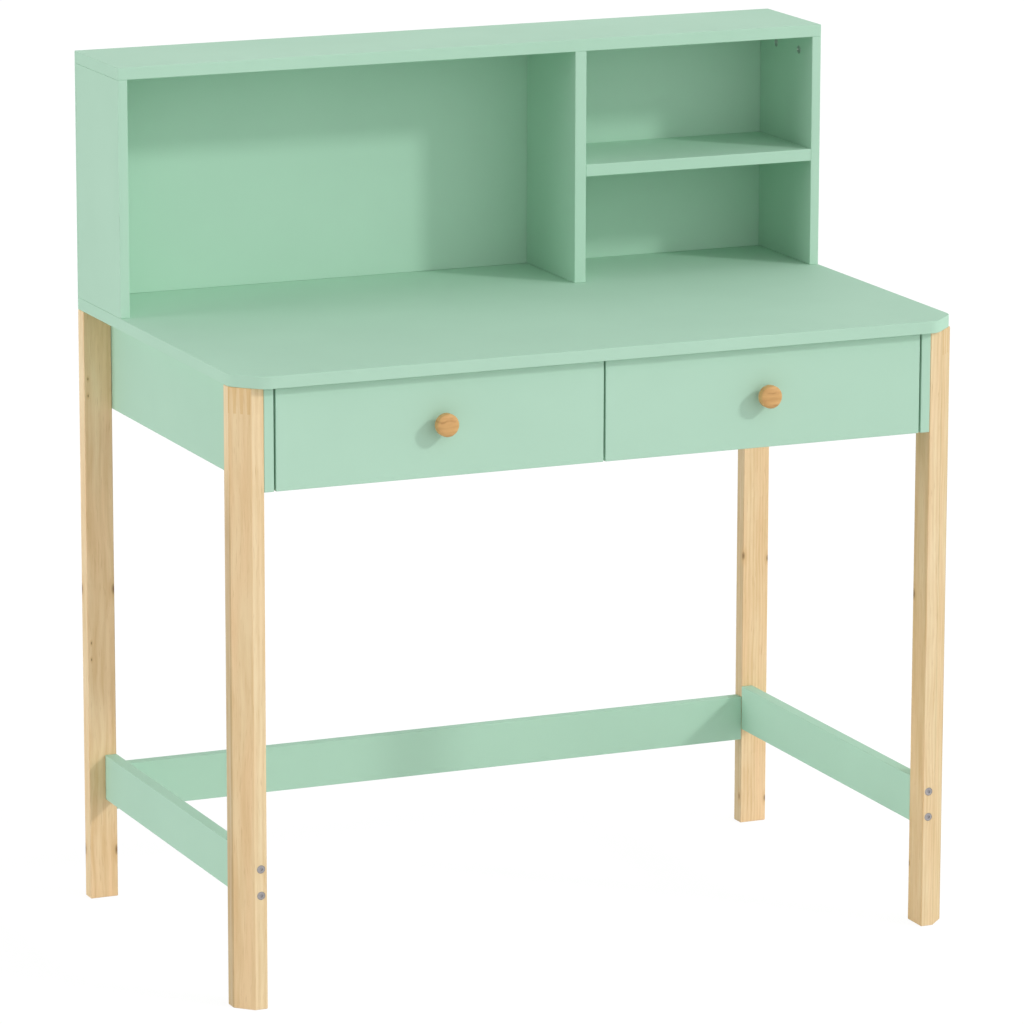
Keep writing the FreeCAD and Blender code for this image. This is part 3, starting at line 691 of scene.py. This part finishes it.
def beech():
    """Waxed beech with short flecks along Y."""
    material, tree, surface, spot = new_finish("waxed_beech")
    flecks = noise(tree, spot, (FLECK_WIDTH, FLECK_LENGTH, FLECK_WIDTH), 2.0)
    bands = noise(tree, spot, BEECH_BANDS, 3.0)
    grain = sum_of(tree, times(tree, flecks, 0.4), times(tree, bands, 0.6))
    colour = mixed(tree, spread(tree, grain, *TONE_SPAN), tint(BEECH_DARK), tint(BEECH_PALE))
    tree.links.new(colour, surface.inputs["Base Color"])
    tree.links.new(spread(tree, grain, *NOISE_SPAN, *BEECH_ROUGH), surface.inputs["Roughness"])
    relief(tree, surface, flecks, depth=0.0002, strength=0.2)
    return material


finish(beech(), "left_drawer_runners", "right_drawer_runners", "drawer_stops", "dowels")
for node in ("runner_screws", "stop_screws"):
    fitted(node, "desk", wood_screw, steel)

# The desktop is one painted board with its front corners cut in line with the legs. Steel
# angles hold it to the case from below.
finish(paint, "desktop")
finish(steel, "desktop_brackets")
PAN_HEAD = 0.0035
PAN_HEIGHT = 0.002
PAN_DOME = 0.0017
PAN_SHANK = 0.0016
PAN_CORE = 0.0011
PAN_PITCH = 0.0014
PAN_POINT = 0.003
PAN_CROSS = 0.85
DOME_FULLNESS = 0.8
CURVE_STEPS = 8


def curve(start, end, across=True, fullness=1.0):
    """A quarter round between two points of a profile. It leaves the first across the axis, or
    else along it, and is squarer where its fullness is under 1."""
    points = []
    for step in range(CURVE_STEPS + 1):
        turn = math.pi / 2 * step / CURVE_STEPS
        shares = [math.sin(turn) ** fullness, 1 - math.cos(turn) ** fullness]
        if not across:
            shares.reverse()
        points.append(tuple(a + (b - a) * share for a, b, share in zip(start, end, shares)))
    return points


def pan_screw(length):
    """Small screw with a domed head that stands on the surface, and a cross recess."""
    neck = PAN_HEIGHT + PAN_SHANK - PAN_CORE
    dome = curve((0, 0), (PAN_HEAD, -PAN_DOME), fullness=DOME_FULLNESS)
    screw = lathed("pan_screw", dome + [
        (PAN_HEAD, -PAN_HEIGHT), (PAN_SHANK, -PAN_HEIGHT), (PAN_CORE, -neck),
        (PAN_CORE, PAN_POINT - length), (0, -length),
    ], SCREW_STEPS)
    cut_by(screw, cross_driver(PAN_CROSS))
    threaded(screw, PAN_CORE, PAN_SHANK, PAN_PITCH, -neck - PAN_PITCH, PAN_POINT - length)
    return screw


fitted("bracket_screws", "desk", pan_screw, steel)

# The hutch stands on the desktop's back half: two sides, a divider, a shelf, a top and a thin
# back panel, drawn together by cams and screwed from below and behind.
finish(paint, "hutch_left_side", "hutch_right_side", "hutch_divider", "hutch_shelf", "hutch_top",
       "hutch_back_panel")
fitted("hutch_base_screws", "desk", wood_screw, steel)
fitted("hutch_back_screws", "desk", pan_screw, steel)
cams("hutch", "desk")

# Two drawers of painted board: a front, two grooved sides and a back round a thin bottom, with
# cams at the front and screws at the back. A turned knob is screwed on from inside.
KNOB_PALE = (222, 176, 116)
KNOB_DARK = (204, 156, 98)
KNOB_LINE = (160, 108, 58)
KNOB_LINE_RISE = 0.0055
KNOB_LINE_PITCH = 0.017
KNOB_LINE_WANDER = 0.0016
KNOB_LINE_WIDTH = (0.0003, 0.0018)
KNOB_LINE_SHARE = 0.48
KNOB_LINE_FAINT = 0.15
KNOB_FADE_SPAN = (0.4, 0.6)
KNOB_GRAIN_SPAN = (0.32, 0.68)
KNOB_BANDS = (0.03, 0.012, 0.0045)
KNOB_PORES = (0.005, 0.0006, 0.0006)
KNOB_WAVES = (0.012, 0.03, 0.05)
KNOB_FADING = (0.011, 0.02, 0.006)
KNOB_ROUGH = (0.6, 0.5)
KNOB_SHEEN = 0.3
KNOB_RADIUS = 0.01375
KNOB_CROWN = 0.0052
KNOB_SIDE_END = 0.0112
KNOB_CAP = 0.014
KNOB_UNDERSIDE = 0.0105
KNOB_THROAT = 0.002
KNOB_NECK = 0.0055
KNOB_NECK_END = 0.0185
KNOB_FOOT = 0.0065
KNOB_FOOT_HEIGHT = 0.0008
KNOB_HOLE = 0.0017
KNOB_HOLE_DEPTH = 0.012
KNOB_STEPS = 72


def knob_wood():
    """Oiled orange-brown wood: a few wavy growth lines across, soft bands and fine pores."""
    material, tree, surface, spot = new_finish("oiled_knob_wood")
    bands = noise(tree, spot, KNOB_BANDS, 2.0)
    pores = noise(tree, spot, KNOB_PORES, 2.0)
    waves = noise(tree, spot, KNOB_WAVES, 1.0)
    fading = noise(tree, spot, KNOB_FADING, 1.0)
    low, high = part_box("left_drawer_knob")
    level = add(tree, "SeparateXYZ", {"Vector": spot}).outputs["Z"]
    level = worked(tree, "SUBTRACT", level, (low.z + high.z) / 2 + KNOB_LINE_RISE)
    wander = spread(tree, waves, *NOISE_SPAN, -KNOB_LINE_WANDER, KNOB_LINE_WANDER)
    line = worked(tree, "PINGPONG", sum_of(tree, level, wander), KNOB_LINE_PITCH / 2)
    line = spread(tree, line, *KNOB_LINE_WIDTH, KNOB_LINE_SHARE, 0.0)
    line = times(tree, line, spread(tree, fading, *KNOB_FADE_SPAN, KNOB_LINE_FAINT, 1.0))
    grain = sum_of(tree, times(tree, bands, 0.8), times(tree, pores, 0.2))
    colour = mixed(tree, spread(tree, grain, *KNOB_GRAIN_SPAN), tint(KNOB_DARK), tint(KNOB_PALE))
    tree.links.new(mixed(tree, line, colour, tint(KNOB_LINE)), surface.inputs["Base Color"])
    tree.links.new(spread(tree, grain, *NOISE_SPAN, *KNOB_ROUGH), surface.inputs["Roughness"])
    surface.inputs["Specular IOR Level"].default_value = KNOB_SHEEN
    relief(tree, surface, grain, depth=0.0002, strength=0.2)
    return material


def knob(length):
    """Turned knob: a low crown that rounds into a straight side, and a slim neck with a foot
    drilled for the screw."""
    crown = curve((0, 0), (KNOB_RADIUS, -KNOB_CROWN), fullness=DOME_FULLNESS)
    edge = curve((KNOB_RADIUS, -KNOB_SIDE_END), (KNOB_UNDERSIDE, -KNOB_CAP), across=False)
    throat = curve((KNOB_NECK + KNOB_THROAT, -KNOB_CAP), (KNOB_NECK, -KNOB_CAP - KNOB_THROAT))
    flare = curve((KNOB_NECK, -KNOB_NECK_END), (KNOB_FOOT, KNOB_FOOT_HEIGHT - length), across=False)
    hole = KNOB_HOLE_DEPTH - length
    foot = [(KNOB_FOOT, -length), (KNOB_HOLE, -length), (KNOB_HOLE, hole), (0, hole + KNOB_HOLE / 2)]
    return lathed("knob", crown + edge + throat + flare + foot, KNOB_STEPS)


turned = knob_wood()
for side in ("left", "right"):
    body = side + "_drawer"
    finish(paint, body + "_front", body + "_inner_side", body + "_outer_side", body + "_back",
           body + "_bottom")
    fitted(body + "_knob", body, knob, turned)
    fitted(body + "_knob_screw", body, pan_screw, steel)
    fitted(body + "_screws", body, wood_screw, steel)
    cams(body, body)

# Studio: a white floor that keeps a faint shadow, a white room that is dimmer overhead and at
# the far left, one lamp at the upper right in front and a broad one at the left.
FLOOR_SIZE = 60
FLOOR_ALBEDO = 0.8
FLOOR_GLOW = 1.08
SHADOW_SHARE = 0.15
ROOM_SEEN = 1.0
ROOM_LEVEL = 1.4
ROOM_LEFT = 0.28
ROOM_TOP = -0.7
LAMPS = {
    "front_lamp": {"azimuth": 44.0, "elevation": 29.5, "spread": 6, "strength": 0.9},
    "left_lamp": {"azimuth": -95, "elevation": 12, "spread": 30, "strength": 1.3},
}


def seen_directly(tree):
    """1 where the eye, a reflection or a view through glass sees the surface itself."""
    path = add(tree, "LightPath", {}).outputs
    either = worked(tree, "MAXIMUM", path["Is Camera Ray"], path["Is Glossy Ray"])
    return worked(tree, "MAXIMUM", either, path["Is Transmission Ray"])


bpy.ops.object.select_all(action="DESELECT")
bpy.ops.mesh.primitive_plane_add(size=FLOOR_SIZE)
floor = bpy.context.object
floor.name = "studio_floor"
floor_paint, tree, surface, spot = new_finish("studio_white")
surface.inputs["Base Color"].default_value = (FLOOR_ALBEDO, FLOOR_ALBEDO, FLOOR_ALBEDO, 1)
surface.inputs["Roughness"].default_value = 1.0
surface.inputs["Specular IOR Level"].default_value = 0.0
glow = add(tree, "Emission", {"Color": (1, 1, 1, 1), "Strength": FLOOR_GLOW})
share = times(tree, seen_directly(tree), 1 - SHADOW_SHARE)
both = add(tree, "MixShader", {0: share, 1: surface.outputs[0], 2: glow.outputs[0]})
tree.links.new(both.outputs[0], tree.nodes["Material Output"].inputs["Surface"])
floor.data.materials.append(floor_paint)

world = bpy.data.worlds.new("studio_room")
bpy.context.scene.world = world
world.use_nodes = True
tree = world.node_tree
room = tree.nodes["Background"]
room.inputs["Color"].default_value = (1, 1, 1, 1)
axes = add(tree, "SeparateXYZ", {"Vector": add(tree, "TexCoord", {}).outputs["Generated"]}).outputs
lit = sum_of(tree, spread(tree, axes["X"], -1.0, 0.0, ROOM_LEFT, ROOM_LEVEL),
             spread(tree, axes["Z"], 0.0, 1.0, 0.0, ROOM_TOP))
tree.links.new(add(tree, "Mix", {0: seen_directly(tree), 2: lit, 3: ROOM_SEEN}).outputs[0],
               room.inputs["Strength"])

for name, facts in LAMPS.items():
    lamp_data = bpy.data.lights.new(name, "SUN")
    lamp_data.angle = math.radians(facts["spread"])
    lamp_data.energy = facts["strength"]
    lamp = bpy.data.objects.new(name, lamp_data)
    bpy.context.scene.collection.objects.link(lamp)
    lamp.rotation_euler = (math.radians(90 - facts["elevation"]), 0, math.radians(facts["azimuth"]))

# The camera stands far back at the left and looks down on the desk a little.
CAMERA_PLACE = (-2.9414, -6.7390, 2.1709)
CAMERA_AZIMUTH = 23.526
CAMERA_ELEVATION = 12.760
CAMERA_ROLL = 0.113
CAMERA_LENS = 217.73
CAMERA_SENSOR = 36
CAMERA_REACH = 200

camera_data = bpy.data.cameras.new("studio_camera")
camera_data.lens = CAMERA_LENS
camera_data.sensor_width = CAMERA_SENSOR
camera_data.clip_end = CAMERA_REACH
camera = bpy.data.objects.new("studio_camera", camera_data)
bpy.context.scene.collection.objects.link(camera)
camera.location = CAMERA_PLACE
camera.rotation_euler = (math.radians(90 - CAMERA_ELEVATION), 0, math.radians(-CAMERA_AZIMUTH))
camera.rotation_euler.rotate_axis("Z", math.radians(CAMERA_ROLL))
bpy.context.scene.camera = camera
bpy.context.scene.view_settings.view_transform = "Standard"
